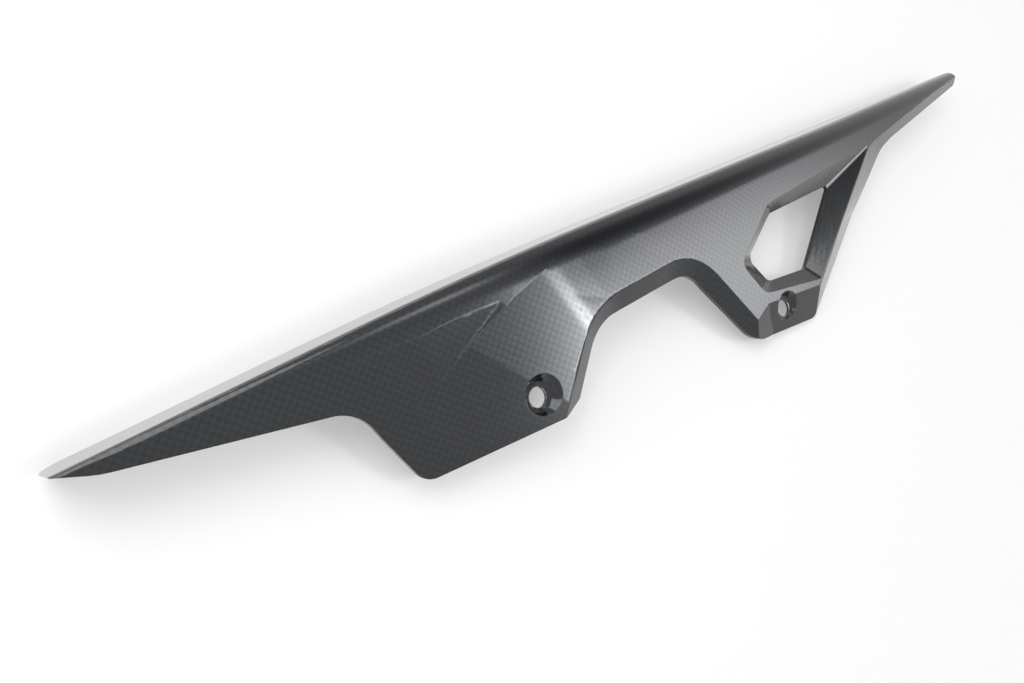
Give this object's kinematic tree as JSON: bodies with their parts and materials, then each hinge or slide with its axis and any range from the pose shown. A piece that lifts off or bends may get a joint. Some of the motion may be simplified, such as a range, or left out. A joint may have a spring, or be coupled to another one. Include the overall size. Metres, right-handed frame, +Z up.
{
  "type": "motorcycle chain guard",
  "caption": "Long moulded carbon-fibre guard that covers a motorcycle's drive chain, with a top flange, a notched side face, two bolt tabs and a window.",
  "frame": {"origin": "halfway through the front bolt hole, on its axis", "axes": "the guard lies at rest as on a bench, outer side up: +Z up, +X along the guard towards its rear end, +Y towards the rail. The bolt axes lean about 15 degrees from +Z."},
  "size_m": [0.5954, 0.1078, 0.04],
  "materials": {
    "carbon_laminate": "plain-weave carbon fibre under clear gloss resin"
  },
  "bodies": {
    "root": {"chain_guard": "carbon_laminate"}
  },
  "joints": []
}
